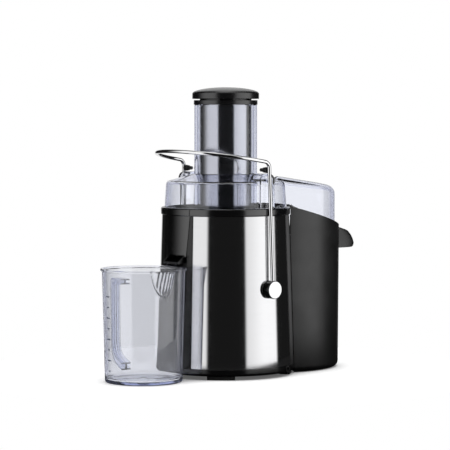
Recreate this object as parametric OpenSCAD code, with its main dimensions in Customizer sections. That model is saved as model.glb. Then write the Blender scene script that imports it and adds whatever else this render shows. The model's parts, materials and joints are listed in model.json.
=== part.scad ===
// Centrifugal juicer: motor base, juice bowl with spinning strainer, clear lid with a wide feed
// tube, pusher, locking bail, pulp bin and measuring jug.
// +Z is up. The origin is at the bottom centre of the whole object, on the surface it stands on.
// The modules are drawn about the spin axis, and place() moves them to the part's own frame.

/* [Body] */
// Radius of the body just under the black top ring
body_top_r = 85; // [84:0.5:86]
// Radius of the body just above the base skirt
body_bottom_r = 91; // [90:0.5:92]
// Height of the lower edge of the steel panels
skirt_top_z = 14; // [13:0.5:16]
// Height of the upper edge of the steel panels
panel_top_z = 212; // [211:0.5:213]
// Half the angle of the black strip around the spout
front_strip_half = 19; // [18:0.5:21]

/* [Lid and feed tube] */
// Inner radius of the feed tube
tube_bore_r = 38; // [37.5:0.5:38.5]
// Wall of the feed tube
tube_wall = 3.75; // [3:0.25:4]
// Height of the top of the feed tube
tube_top_z = 357; // [340:1:365]
// Thickness of the clear lid's walls
lid_wall = 2.4; // [2:0.1:2.8]

/* [Bail] */
// Distance from the centre plane to the middle of each arm at its pivot
arm_foot_y = 93.5; // [93:0.25:94.5]
// Distance from the centre plane to the middle of each arm at its top
arm_top_y = 86.5; // [86.5:0.25:87.5]
// Height of the pivots
pivot_z = 116.5; // [110:0.5:120]
// Thickness of the chrome rod
rod_d = 5; // [4.5:0.1:5.2]
// Upward slope of the loop towards the spout side
loop_slope = 8.8; // [7:0.2:10]

/* [Pulp bin] */
// Distance from the spin axis to the centre of the bin's round end
bin_x = 114.5; // [112:0.5:116]
// Half width of the bin at its rim
bin_top_r = 69; // [68:0.5:70]
// Half width of the bin at its foot
bin_foot_r = 67.5; // [66.5:0.5:68.5]
// Slope of the bin's rim, down towards the handle
rim_slope = 14.8; // [14:0.2:15.5]
// Wall of the bin
bin_wall = 2.4; // [2:0.1:2.6]

/* [Jug] */
// Distance from the spin axis to the middle of the jug
jug_x = 143; // [143:0.5:150]
// Sideways shift of the jug
jug_y = -3.4; // [-6:0.2:3]
// Turn of the jug about its own axis
jug_turn = -10.5; // [-13:0.5:-8]
// Height of the jug
jug_h = 146.5; // [140:0.5:147]
// Outer radius of the jug's rim
jug_rim_r = 55.8; // [55.2:0.2:56]

/* [Hidden] */
$fn = 96;

// Heights of the stack, from the floor up
foot_h = 5;
deck_z = 160;
deck_t = 3;
bowl_floor_z = 168;
bowl_rim_z = 222;
ledge_z = 218.8;
lid_edge_z = 257.2;
lid_crown_z = 265.6;
grater_z = 190;
tube_foot_z = 200;
pusher_foot_z = 203;
collar_h = 6;
cap_z = 364.8;
cap_rim_h = 8.1;
dome_h = 7.4;

// Body
steel_t = 0.8;
steel_gap = 0.1;
housing_wall = 3.4;
rear_strip_half = 40;
cover_r = 86.4;
screw_r = 70;
alcove_x = -70;
alcove_half = 20;
alcove_z = 100;
alcove_wall = 2.5;
window_z = 159;
shroud_gap = 0.5;
ring_r = 86.2;
ring_in_r = 81.7;
ring_ledge_r = 80.3;

// Lid
lid_foot_r = 81.4;
lid_edge_r = 73.4;
lid_round = 6.2;
cover_inset = 6.4;
cover_dip = 4;
cover_edge_z = 245.5;
cover_top_x = 44;
cover_top_z = 262.8;
cover_start_z = 251;
lug_half = 12.5;
lug_out_y = 83;
lug_in_y = 64;
lug_top_z = 267.6;

// Bail
bend_r = 9;
bend_z = 274.2;
knob_r = 11.8;
knob_in_y = 88.7;
knob_out_y = 97;
cap_t = 1.2;
pin_r = 4;
rod_foot = 4.6;
pin_gap = 0.05;
peg_z = 272;
cam_r = 7;
cam_shift = 2;
cam_y = 73;
cam_t = 4;

// Pulp bin
rim_x = 65;
rim_z0 = 220.8;
bin_gap = 1.9;
inner_wall_z = 184;
grip_r = 45;
grip_x = 180;
grip_z = 146;
grip_foot_z = 160.5;
grip_half = 26;
grip_wall = 2.6;
grip_round = 50.1;

// Jug
jug_foot_r = 50.1;
jug_neck_r = 53.8;
jug_wall = 2.2;
jug_rim_h = 3;
beak_r = 17;
beak_tilt = 21.8;
beak_y = 47.7;
beak_wall = 1.9;
handle_out = 90;
handle_w = 14;
handle_web = 3;
handle_edge = 1.8;

// Switch on the far side
switch_z = 55;
bezel_r = 24;
bezel_y = 91.5;
speed_knob_r = 17;

// Gland in the base skirt
gland_angle = 291;
gland_z = 9.5;
gland_r = 4.3;
gland_bore_r = 3.2;
gland_in = 76;
gland_out = 93;

// The spin axis stands off centre, because the bin reaches further out than the jug
bin_reach = grip_x + sqrt(grip_r * grip_r - pow(grip_foot_z - grip_z, 2));
axis_x = (jug_x + jug_rim_r - bin_reach) / 2;

function body_r(z) = body_bottom_r
    + (body_top_r - body_bottom_r) * (z - skirt_top_z) / (panel_top_z - skirt_top_z);
function rim_z(x) = rim_z0 - tan(rim_slope) * (x - rim_x);
function bin_r(z) = bin_foot_r + (bin_top_r - bin_foot_r) * z / rim_z0;
function arc(cx, cy, r, a0, a1, n = 8) =
    [for (i = [0:n]) let (a = a0 + (a1 - a0) * i / n) [cx + r * cos(a), cy + r * sin(a)]];

module place() { translate([axis_x, 0, 0]) children(); }
module place_jug() { translate([axis_x - jug_x, jug_y, 0]) rotate([0, 0, jug_turn]) children(); }

// A 2D outline in the XZ plane, drawn out along Y
module along_y(w) { rotate([90, 0, 0]) linear_extrude(w, center = true) children(); }
// A 2D outline in the YZ plane, drawn out along X from x0 to x1
module along_x(x0, x1) { translate([x0, 0, 0]) rotate([90, 0, 90]) linear_extrude(x1 - x0) children(); }
// A round bar along Y between two distances
module bar_y(r, y0, y1) { translate([0, y1, 0]) rotate([90, 0, 0]) cylinder(r = r, h = y1 - y0); }
module both_sides() { children(); mirror([0, 1, 0]) children(); }
module ring(r_out, r_in, z0, z1) {
    translate([0, 0, z0]) difference() {
        cylinder(r = r_out, h = z1 - z0);
        translate([0, 0, -1]) cylinder(r = r_in, h = z1 - z0 + 2);
    }
}

// A band of the tapered body wall, from one angle over a span
module body_band(z0, z1, inset, wall, from = 0, span = 360) {
    rotate([0, 0, from]) rotate_extrude(angle = span, $fn = 180) polygon([
        [body_r(z0) - inset - wall, z0], [body_r(z0) - inset, z0],
        [body_r(z1) - inset, z1], [body_r(z1) - inset - wall, z1]
    ]);
}

// A cone that stands off the body's outside by a gap
module body_cone(gap) {
    translate([0, 0, -1]) cylinder(r1 = body_r(-1) + gap, r2 = body_r(260) + gap, h = 261, $fn = 180);
}

// The tongue-shaped window for the spout, cut along X
module tongue(grow) {
    along_x(-100, -66) polygon([
        [-18.5 - grow, window_z - grow], [18.5 + grow, window_z - grow],
        [21.5 + grow, 190], [24.5 + grow, panel_top_z + 20],
        [-24.5 - grow, panel_top_z + 20], [-21.5 - grow, 190]
    ]);
}

// The pocket for one steel panel, on the left side
module panel_pocket() {
    span = 180 - front_strip_half - rear_strip_half;
    body_band(skirt_top_z - 2, panel_top_z + 2, -2, 2 + steel_t + steel_gap, rear_strip_half, span);
}

// Places one child at each of the four motor mounts
module at_motor_mounts() {
    for (a = [45:90:315]) rotate([0, 0, a]) translate([58, 0, 0]) children();
}
// Places one child at each of the four screws under the base
module at_base_screws() {
    for (a = [0:90:270]) rotate([0, 0, a]) translate([screw_r, 0, 0]) children();
}

module housing_solid() {
    body_band(skirt_top_z, panel_top_z, 0, housing_wall);
    translate([0, 0, deck_z]) cylinder(r = body_r(deck_z) - 2, h = deck_t);
    translate([alcove_x - 14, -alcove_half - alcove_wall, alcove_z - alcove_wall])
        cube([14 + alcove_wall, 2 * (alcove_half + alcove_wall), deck_z + 1 - alcove_z + alcove_wall]);
    both_sides() translate([0, 0, pivot_z]) bar_y(9.5, 78, body_r(pivot_z) - 1);
    at_motor_mounts() translate([0, 0, 150]) cylinder(r = 5, h = 11);
    at_base_screws() translate([-5, -6, skirt_top_z]) cube([24, 12, 6]);
    translate([12, 74, pivot_z - 9]) cube([12, 9, 3]);
}

module housing_shell() color([0.07, 0.07, 0.075]) difference() {
    housing_solid();
    both_sides() panel_pocket();
    translate([alcove_x - 35, -alcove_half, alcove_z]) cube([35, 2 * alcove_half, 80]);
    tongue(shroud_gap);
    translate([0, 0, deck_z - 1]) cylinder(r = 16, h = deck_t + 2);
    both_sides() translate([0, 0, pivot_z]) bar_y(6, 70, 100);
    translate([0, 0, switch_z]) bar_y(bezel_r - 2, 70, 100);
    at_motor_mounts() translate([0, 0, 149]) cylinder(r = 1.5, h = 10);
    at_base_screws() translate([0, 0, skirt_top_z - 1]) cylinder(r = 1.6, h = 8);
}

// The left panel's wall, without its switch hole
module steel_panel() difference() {
    span = 180 - front_strip_half - rear_strip_half - 0.6;
    body_band(skirt_top_z, panel_top_z, 0, steel_t, rear_strip_half + 0.3, span);
    translate([0, 0, pivot_z]) bar_y(6, 60, 100);
}
module steel_panel_left() color([0.8, 0.8, 0.8]) difference() {
    steel_panel();
    translate([0, 0, switch_z]) bar_y(bezel_r + 0.2, 60, 100);
}
module steel_panel_right() color([0.8, 0.8, 0.8]) mirror([0, 1, 0]) steel_panel();

// Outside of the top ring, from its lower edge round to its rim
function ring_outline() = concat(
    [[84.6, panel_top_z]],
    arc(84.6, panel_top_z + 1.6, 1.6, -90, 0, 4),
    arc(ring_r - 2.6, bowl_rim_z - 2.6, 2.6, 0, 90, 5)
);
module top_ring() color([0.06, 0.06, 0.065]) difference() {
    rotate_extrude($fn = 180) polygon(concat(
        [[ring_ledge_r, ledge_z], [ring_ledge_r, 215.5], [81.8, panel_top_z]],
        ring_outline(),
        [[ring_in_r, bowl_rim_z], [ring_in_r, ledge_z]]
    ));
    tongue(shroud_gap);
}

module gland_hole() {
    rotate([0, 0, gland_angle]) translate([70, 0, gland_z]) rotate([0, 90, 0])
        cylinder(r = gland_r + 0.05, h = 30);
}
module base_skirt() color([0.05, 0.05, 0.055]) difference() {
    rotate_extrude($fn = 180) polygon(concat(
        [[cover_r + 0.1, foot_h], [88.6, foot_h]],
        arc(88.8, 8.2, 3.0, -85, 0, 5),
        [[91.6, skirt_top_z], [84, skirt_top_z], [84, 11], [cover_r + 0.1, 11]]
    ));
    gland_hole();
}

module bottom_cover() color([0.07, 0.07, 0.07]) difference() {
    union() {
        translate([0, 0, foot_h]) cylinder(r = cover_r, h = 2.5);
        at_base_screws() translate([0, 0, foot_h]) cylinder(r = 5, h = skirt_top_z - foot_h);
        for (x = [24, 54]) translate([x, 45, foot_h]) cube([4, 3, 45]);
    }
    at_base_screws() translate([0, 0, foot_h - 1]) {
        cylinder(r = 1.6, h = 12);
        cylinder(r = 3.6, h = 3.2);
    }
    for (i = [-4:4]) translate([-30, i * 9 - 1.6, foot_h - 1]) cube([60, 3.2, 5]);
    for (a = [45:90:315]) rotate([0, 0, a]) translate([81, 0, foot_h - 1]) cylinder(r = 2.05, h = 5);
    gland_hole();
}

module rubber_feet() color([0.03, 0.03, 0.03])
    for (a = [45:90:315]) rotate([0, 0, a]) {
        rotate([0, 0, -12]) rotate_extrude(angle = 24) polygon([
            [74.5, 0], [87, 0], [88, 1], [88, foot_h], [73.5, foot_h], [73.5, 1]
        ]);
        translate([81, 0, foot_h - 1]) cylinder(r = 2, h = 4.5);
    }

module base_screws() color([0.6, 0.6, 0.62]) at_base_screws() translate([0, 0, foot_h + 0.6]) {
    cylinder(r = 3.2, h = 1.5);
    cylinder(r = 1.5, h = 13);
}

module cord_gland() color([0.04, 0.04, 0.04]) rotate([0, 0, gland_angle])
    translate([gland_in, 0, gland_z]) rotate([0, 90, 0]) difference() {
        cylinder(r = gland_r, h = gland_out - gland_in);
        translate([0, 0, -1]) cylinder(r = gland_bore_r, h = gland_out - gland_in + 2);
    }

module motor_stator() color([0.45, 0.45, 0.47]) difference() {
    intersection() {
        translate([0, 0, 62]) cylinder(r = 46, h = 42);
        translate([-39, -50, 60]) cube([78, 100, 50]);
    }
    translate([0, 0, 60]) cylinder(r = 27, h = 50);
    both_sides() translate([-18, 15, 60]) cube([36, 20, 50]);
}

module field_coils() color([0.7, 0.35, 0.15]) both_sides() difference() {
    translate([-17.5, 27.5, 56]) cube([35, 7, 54]);
    translate([-9, 27, 64]) cube([18, 8, 38]);
}

module upper_motor_frame() color([0.6, 0.6, 0.6]) difference() {
    union() {
        ring(15, 10.2, 136, 147);
        ring(48, 38, 144, 147);
        for (a = [45:90:315]) rotate([0, 0, a]) translate([12, -5, 144]) cube([46, 10, 3]);
        at_motor_mounts() translate([0, 0, 144]) cylinder(r = 6, h = 3);
    }
    at_motor_mounts() translate([0, 0, 140]) cylinder(r = 1.7, h = 10);
}

module lower_motor_frame() color([0.6, 0.6, 0.6]) {
    ring(12, 8.2, 26, 35);
    for (a = [0, 180]) rotate([0, 0, a]) {
        translate([10, -6, 26]) cube([35, 12, 3]);
        translate([36, -6, 26]) cube([9, 12, 36]);
        translate([41, -6, 26]) cube([4, 12, 118]);
    }
}

module motor_screws() color([0.62, 0.62, 0.64]) at_motor_mounts() translate([0, 0, 141]) {
    cylinder(r = 3, h = 3);
    cylinder(r = 1.4, h = 16);
}

module bearing(r_out, r_in, z0, z1) {
    ring(r_out, r_out - 2, z0, z1);
    ring(r_in + 1.5, r_in, z0, z1);
    ball_r = (r_out - r_in - 3.6) / 2;
    for (a = [0:45:315]) rotate([0, 0, a])
        translate([(r_out + r_in - 0.5) / 2, 0, (z0 + z1) / 2]) sphere(r = ball_r, $fn = 24);
}
module upper_bearing() color([0.7, 0.7, 0.72]) bearing(10.1, 4.05, 138, 146);
module lower_bearing() color([0.7, 0.7, 0.72]) bearing(8.1, 3.05, 27, 34);

module brush_holders() color([0.75, 0.6, 0.3])
    for (a = [0, 180]) rotate([0, 0, a]) difference() {
        translate([16, -4.5, 40]) cube([20, 9, 11]);
        translate([15, -3, 41.5]) cube([22, 6, 8]);
    }
module carbon_brushes() color([0.15, 0.15, 0.15])
    for (a = [0, 180]) rotate([0, 0, a]) translate([13.1, -2.9, 41.6]) cube([16, 5.8, 7.8]);

module vibration_dampers() color([0.05, 0.05, 0.05]) at_motor_mounts() ring(5.5, 1.8, 147, 150);

module control_board() color([0.1, 0.35, 0.15]) {
    translate([20, 48, 24]) cube([42, 1.6, 30]);
    translate([26, 49.6, 30]) cube([12, 8, 14]);
    translate([44, 49.6, 28]) cube([10, 6, 18]);
}

module switch_body() color([0.2, 0.2, 0.2]) translate([0, 0, switch_z]) difference() {
    union() {
        translate([-13, 61, -13]) cube([26, 14, 26]);
        bar_y(7, 74, 81.5);
    }
    bar_y(3.1, 60, 83);
}

module switch_bezel() color([0.06, 0.06, 0.065]) translate([0, 0, switch_z]) difference() {
    union() {
        bar_y(bezel_r - 2.2, 81.5, bezel_y);
        intersection() {
            bar_y(bezel_r, 84, bezel_y);
            translate([0, 0, -switch_z]) difference() {
                cylinder(r = 120, h = 120);
                body_cone(0.1);
            }
        }
    }
    bar_y(3.2, 70, 100);
}

module speed_knob() color([0.08, 0.08, 0.085]) translate([0, 0, switch_z]) {
    bar_y(3, 62, bezel_y + 1);
    bar_y(speed_knob_r, bezel_y + 0.3, 94.6);
    intersection() {
        bar_y(speed_knob_r - 0.6, 94, 98.2);
        translate([-4, 90, -20]) cube([8, 20, 40]);
    }
}

module pivot_bushes() color([0.85, 0.85, 0.8]) both_sides() translate([0, 0, pivot_z])
    difference() {
        union() {
            bar_y(5.9, 77.2, 88.4);
            bar_y(8.5, 77.2, 78);
        }
        bar_y(pin_r + pin_gap, 70, 100);
    }

module shaft_seal() color([0.1, 0.1, 0.1]) {
    ring(15.8, 5.4, deck_z + 0.2, deck_z + deck_t + 0.6);
    ring(17.6, 5.4, deck_z + deck_t, deck_z + deck_t + 1.6);
}

module motor_shaft() color([0.75, 0.75, 0.77]) {
    translate([0, 0, 22]) cylinder(r = 3, h = 16);
    translate([0, 0, 37]) cylinder(r = 4, h = 141);
}

module armature_core() color([0.5, 0.5, 0.52]) difference() {
    ring(26, 4.05, 63, 103);
    for (i = [0:11]) rotate([0, 0, i * 30]) translate([18, -1.5, 60]) cube([10, 3, 50]);
}
module armature_windings() color([0.72, 0.36, 0.16]) {
    ring(22, 4.3, 103.1, 112);
    ring(22, 4.3, 54, 62.9);
}
module commutator() color([0.8, 0.5, 0.25]) difference() {
    ring(13, 4.05, 38.5, 53);
    for (i = [0:23]) rotate([0, 0, i * 15]) translate([12, -0.3, 38]) cube([2, 0.6, 13]);
}
module cooling_fan() color([0.12, 0.12, 0.12]) {
    ring(8, 4.05, 117, 130);
    ring(37, 7, 117, 118.5);
    for (i = [0:10]) rotate([0, 0, i * 360 / 11]) translate([7, -0.8, 118]) cube([29, 1.6, 11]);
}

// Six-lobed outline shared by the coupling and its socket
module lobes(grow) {
    circle(r = 9 + grow);
    for (a = [0:60:300]) rotate(a) translate([9, 0]) circle(r = 3.2 + grow);
}
module drive_coupling() color([0.06, 0.06, 0.06]) difference() {
    union() {
        translate([0, 0, 172]) linear_extrude(13) lobes(0);
        translate([0, 0, 166]) cylinder(r = 14, h = 6.1);
    }
    translate([0, 0, 165]) cylinder(r = 4.05, h = 13.2);
}
module basket_base() color([0.09, 0.09, 0.095]) difference() {
    union() {
        translate([0, 0, 172.3]) cylinder(r = 16.6, h = 14.2);
        translate([0, 0, 186.4]) cylinder(r = 52, h = grater_z - 186.5);
    }
    translate([0, 0, 172]) linear_extrude(13.3) lobes(0.15);
}
module grater_disc() color([0.78, 0.78, 0.8]) {
    translate([0, 0, grater_z]) cylinder(r = 50.4, h = 1.2);
    for (row = [0:3], i = [0:11]) rotate([0, 0, i * 30 + row * 7.5])
        translate([14 + row * 9, -1.2, grater_z + 1]) rotate([0, -25, 0]) cube([4, 2.4, 1.2]);
}
module filter_sieve() color([0.75, 0.75, 0.77]) rotate_extrude() polygon([
    [50.6, grater_z], [51.2, grater_z], [74, 214.4], [73.4, 214.4]
]);
module basket_rim() color([0.1, 0.1, 0.105]) rotate_extrude() polygon([
    [72.2, 214.5], [75.2, 214.5], [75.8, 216], [75.8, 219.6], [74.8, 221], [73.6, 221], [72.2, 217.5]
]);

// Spout duct of the bowl: down behind the tongue, then out through the alcove
module spout_outer() along_y(32) polygon([
    [-70.6, 176], [-70.6, 155], [-74, 152], [-95, 150], [-95, 152.8], [-87.4, 158.4], [-84, 163], [-82, 176]
]);
module spout_inner() along_y(27.4) polygon([
    [-73, 178], [-73, 157], [-76, 154.2], [-99, 152.3], [-99, 159.3], [-82.5, 161.2],
    [-79.8, 164], [-79.8, 186], [-73, 186]
]);

module bowl_shell() rotate_extrude($fn = 180) polygon([
    [18, bowl_floor_z], [78.4, bowl_floor_z], [80, ledge_z], [81.5, ledge_z],
    [81.5, bowl_rim_z], [77.6, bowl_rim_z], [76, bowl_floor_z + 2.4],
    [20.4, bowl_floor_z + 2.4], [20.4, 184], [18, 184]
]);
// The shroud over the spout, which fills the tongue-shaped window
module bowl_shroud() intersection() {
    union() {
        body_band(window_z - 1, panel_top_z, 0, 2.6, 150, 60);
        rotate_extrude($fn = 180) polygon(concat(
            [[81.4, panel_top_z - 0.4]], ring_outline(), [[81.4, bowl_rim_z]]
        ));
    }
    tongue(0);
}
// The lip that carries pulp out over the bin
module bowl_apron() rotate([0, 0, -28]) rotate_extrude(angle = 56) polygon([
    [79.5, 220], [81.4, 220], [81.6, bowl_rim_z + 0.2], [86.8, bowl_rim_z + 0.2], [98.5, 217],
    [98.5, 219], [86.8, bowl_rim_z + 2.2], [79.5, bowl_rim_z + 2.2]
]);
module juice_bowl() color([0.07, 0.07, 0.075]) difference() {
    union() {
        bowl_shell();
        spout_outer();
        bowl_shroud();
        bowl_apron();
    }
    spout_inner();
}

// The lid's round part, seen as an outline from the axis outwards; inset 0 is the outside
module lid_round_solid(inset) rotate_extrude($fn = 180) polygon(concat(
    [[0, bowl_rim_z - inset], [lid_foot_r - inset, bowl_rim_z - inset]],
    arc(lid_edge_r, lid_edge_z - lid_round, lid_round - inset, 3, 78, 8),
    [[tube_bore_r + tube_wall, lid_crown_z - inset], [0, lid_crown_z - inset]]
));
// Full depth of the cover over the bin, as a solid; inset 0 is the outside
module lid_cover_solid(inset) intersection() {
    union() {
        r = bin_r(rim_z0) - cover_inset - inset;
        translate([bin_x, 0, 150]) cylinder(r = r, h = 120);
        translate([0, -r, 150]) cube([bin_x, 2 * r, 120]);
    }
    along_y(200) polygon(concat(
        [[20, 225], [82, 218], [82, rim_z(82) - cover_dip], [200, rim_z(200) - cover_dip]],
        [[200, 200]],
        arc(bin_x + bin_r(rim_z0) - cover_inset - 10, cover_edge_z - 10, 10 - inset, 0, 82, 8),
        [[cover_top_x, cover_top_z - inset], [20, cover_start_z - inset]]
    ));
}
module lid_lugs() both_sides() intersection() {
    translate([-lug_half, lug_in_y, bowl_rim_z]) cube([2 * lug_half, lug_out_y - lug_in_y, 60]);
    along_y(200) polygon(concat(
        [[-lug_half, 200], [lug_half, 200]],
        arc(lug_half - 8, lug_top_z - 9, 8, 0, 80, 6),
        [[0, lug_top_z]],
        arc(8 - lug_half, lug_top_z - 9, 8, 100, 180, 6)
    ));
}
// The mouth under the cover, down to and past its lower edge
module lid_mouth() {
    r = bin_r(rim_z0) - cover_inset - lid_wall;
    translate([bin_x, 0, 150]) cylinder(r = r, h = 75);
    translate([70, -r, 150]) cube([bin_x - 70, 2 * r, 75]);
}
module lid() color([0.75, 0.78, 0.9, 0.4]) {
    outer_r = tube_bore_r + tube_wall;
    difference() {
        union() {
            lid_round_solid(0);
            difference() {
                lid_cover_solid(0);
                translate([0, 0, 150]) cylinder(r = ring_r + 1, h = 75);
            }
            lid_lugs();
        }
        lid_round_solid(lid_wall);
        lid_cover_solid(lid_wall);
        lid_mouth();
        translate([0, 0, 240]) cylinder(r = outer_r - 1, h = 40);
    }
    ring(outer_r, tube_bore_r, tube_foot_z, tube_top_z);
}

module pusher_cap() color([0.08, 0.08, 0.085]) {
    collar_z = tube_top_z + 0.1;
    rotate_extrude($fn = 180) polygon(concat(
        [[0, cap_z - 1.7], [34.4, cap_z - 1.7], [34.4, cap_z]],
        [[43.9, cap_z], [44.4, cap_z + 0.5], [44.4, cap_z + cap_rim_h - 0.6]],
        [for (i = [0:12]) let (t = i / 12) [43.8 * cos(t * 90), cap_z + cap_rim_h + dome_h * pow(sin(t * 90), 1.15)]]
    ));
    rotate_extrude($fn = 180) polygon([
        [0, collar_z], [42, collar_z], [42.4, collar_z + 0.4], [42.4, collar_z + collar_h - 0.4],
        [42, collar_z + collar_h], [0, collar_z + collar_h]
    ]);
}
module pusher_sleeve() color([0.8, 0.8, 0.82]) ring(35.1, 34.5, pusher_foot_z + 0.5, tube_top_z);
module pusher_core() color([0.1, 0.1, 0.1]) difference() {
    union() {
        translate([0, 0, pusher_foot_z]) cylinder(r = 34.5, h = tube_top_z - pusher_foot_z);
        translate([0, 0, pusher_foot_z - 1]) cylinder(r1 = 33.6, r2 = 35.1, h = 1.5);
    }
    translate([0, 0, pusher_foot_z + 3]) cylinder(r = 32, h = tube_top_z - pusher_foot_z);
}

// Round stock bent to a part of a circle about Z
module bent_rod(radius, angle) {
    rotate_extrude(angle = angle) translate([radius, 0]) circle(d = rod_d, $fn = 48);
}
// Stands its child on the foot of the leaning arm
module arm_line() {
    lean = atan((arm_foot_y - arm_top_y) / (bend_z - pivot_z));
    translate([0, arm_foot_y, pivot_z]) rotate([lean, 0, 0]) translate([0, 0, rod_foot]) children();
}
// A short sleeve over the end of a bend
module rod_joint(tilt) { rotate([0, tilt, 0]) cylinder(d = rod_d + 0.6, h = 3, center = true, $fn = 48); }
module bail_rod() color([0.85, 0.85, 0.87]) {
    run = norm([arm_foot_y - arm_top_y, bend_z - pivot_z]) - rod_foot;
    loop_x = -bend_r + bend_r * sin(loop_slope);
    loop_z = bend_z + bend_r * cos(loop_slope);
    both_sides() {
        arm_line() cylinder(d = rod_d, h = run, $fn = 48);
        translate([0, arm_top_y, bend_z]) rod_joint(0);
        translate([-bend_r, arm_top_y, bend_z]) rotate([90, 0, 0]) bent_rod(bend_r, 90 - loop_slope);
        translate([loop_x, arm_top_y, loop_z]) rod_joint(loop_slope - 90);
    }
    translate([loop_x, 0, loop_z]) rotate([0, loop_slope, 0]) rotate([0, 0, 90]) bent_rod(arm_top_y, 180);
}
module bail_pegs() color([0.04, 0.04, 0.04]) both_sides() translate([0, 0, peg_z]) {
    bar_y(4, 80, arm_top_y - rod_d / 2 - 0.35);
    bar_y(3.1, 75, 80.1);
    bar_y(3.5, 76.5, 78);
    bar_y(2.3, 70, 75.1);
}
module pivot_knobs() color([0.08, 0.08, 0.085]) both_sides() difference() {
    translate([0, 0, pivot_z]) rotate([-90, 0, 0]) rotate_extrude() polygon([
        [pin_r + 0.02, knob_in_y], [knob_r - 0.5, knob_in_y], [knob_r, knob_in_y + 0.5],
        [knob_r, knob_out_y], [pin_r + 0.02, knob_out_y]
    ]);
    arm_line() cylinder(d = rod_d + 0.1, h = knob_r, $fn = 48);
}
module knob_caps() color([0.9, 0.9, 0.92]) both_sides() translate([0, 0, pivot_z])
    rotate([-90, 0, 0]) rotate_extrude() polygon([
        [0, knob_out_y + 0.02], [knob_r - 0.3, knob_out_y + 0.02], [knob_r - 0.3, knob_out_y + 0.6],
        [knob_r - 0.9, knob_out_y + cap_t], [0, knob_out_y + cap_t]
    ]);
module pivot_pins() color([0.6, 0.6, 0.62]) both_sides() translate([0, 0, pivot_z]) {
    bar_y(pin_r, cam_y + cam_t - 0.1, knob_out_y - 0.1);
    translate([cam_shift, 0, 0]) bar_y(cam_r, cam_y, cam_y + cam_t);
}

module microswitch() color([0.12, 0.12, 0.13]) translate([0, 0, pivot_z]) difference() {
    translate([12, 70, -6]) cube([18, 8.6, 12]);
    translate([8, 75, 0]) rotate([0, 90, 0]) cylinder(r = 1.55, h = 15);
}
module interlock_plunger() color([0.8, 0.2, 0.15]) translate([9.3, 75, pivot_z]) rotate([0, 90, 0])
    cylinder(r = 1.5, h = 9);

// Half outline of the bin, from its middle out to its wall and up; inset 0 is the outside
function bin_outline(inset) = let (corner = 8 - inset, foot_z = inset > 0 ? 3 : 0) concat(
    [[0, foot_z]],
    arc(bin_r(0) - inset - corner, foot_z + corner, corner, -90, 0, 5),
    [[bin_r(240) - inset, 240], [0, 240]]
);
// Everything inside the bin's outline; inset 0 is the outside
module bin_block(inset) {
    translate([bin_x, 0, 0]) rotate_extrude($fn = 180) polygon(bin_outline(inset));
    both_sides() along_x(40, bin_x) polygon(bin_outline(inset));
}
module bin_grip(inset) intersection() {
    translate([grip_x, 0, grip_z]) bar_y(grip_r - inset, -grip_half + inset, grip_half - inset);
    translate([bin_reach - grip_round, 0, 100]) cylinder(r = grip_round - inset, h = 100);
    translate([grip_x - 5, -50, grip_foot_z - inset]) cube([60, 100, 60]);
}
module pulp_bin() color([0.09, 0.09, 0.095]) difference() {
    union() {
        bin_block(0);
        bin_grip(0);
    }
    body_cone(bin_gap);
    difference() {
        bin_block(bin_wall);
        body_cone(bin_gap + bin_wall);
    }
    along_y(300) polygon([[0, rim_z(0)], [250, rim_z(250)], [250, 300], [0, 300]]);
    translate([30, -bin_r(inner_wall_z) + bin_wall, inner_wall_z])
        cube([80, 2 * (bin_r(inner_wall_z) - bin_wall), 60]);
    difference() {
        bin_grip(grip_wall);
        bin_block(0);
    }
}

module jug_inside() rotate_extrude($fn = 180) polygon(concat(
    [[0, 4], [43, 4]],
    arc(jug_foot_r - jug_wall - 4, 8, 4, -90, 0, 5),
    [[jug_neck_r - jug_wall, jug_h - jug_rim_h], [jug_neck_r - jug_wall + 0.2, jug_h + 1], [0, jug_h + 1]]
));
module beak(grow) intersection() {
    translate([0, -beak_y, jug_h]) rotate([beak_tilt, 0, 0]) translate([0, 0, -60])
        cylinder(r = beak_r + grow, h = 80);
    translate([-40, -80, 100]) cube([80, 60, jug_h - 100 + (grow < 0 ? 1 : 0)]);
}
module jug_body() color([0.75, 0.78, 0.9, 0.4]) difference() {
    union() {
        rotate_extrude($fn = 180) polygon(concat(
            [[0, 1.2], [44, 1.2], [45.2, 0], [jug_foot_r - 3, 0]],
            arc(jug_foot_r - 3, 3, 3, -90, 0, 5),
            [[jug_neck_r, jug_h - jug_rim_h], [jug_rim_r, jug_h - jug_rim_h + 0.8],
             [jug_rim_r, jug_h], [0, jug_h]]
        ));
        beak(0);
    }
    jug_inside();
    beak(-beak_wall);
}
// C-shaped outline of the handle: x is the distance from the jug's axis
module handle_outline(inset) {
    polygon(concat(
        [[52, 129 - inset]],
        arc(handle_out - 8, 121, 8 - inset, 90, 0, 5),
        arc(handle_out - 32, 46, 32 - inset, 0, -68, 8),
        [[50.6, 10 + inset], [50.9, 19.5 - inset]],
        arc(handle_out - 29, 46, 22 + inset, -70, 0, 8),
        arc(handle_out - 11, 118, 4 + inset, 0, 90, 5),
        [[52, 122 + inset]]
    ));
}
module jug_handle() color([0.72, 0.76, 0.9, 0.5]) rotate([0, 0, 90]) difference() {
    union() {
        along_y(handle_web) handle_outline(0);
        difference() {
            along_y(handle_w) handle_outline(0);
            along_y(handle_w + 2) handle_outline(handle_edge);
        }
    }
    cylinder(r1 = jug_foot_r, r2 = jug_neck_r, h = jug_h - jug_rim_h, $fn = 180);
}

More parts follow.
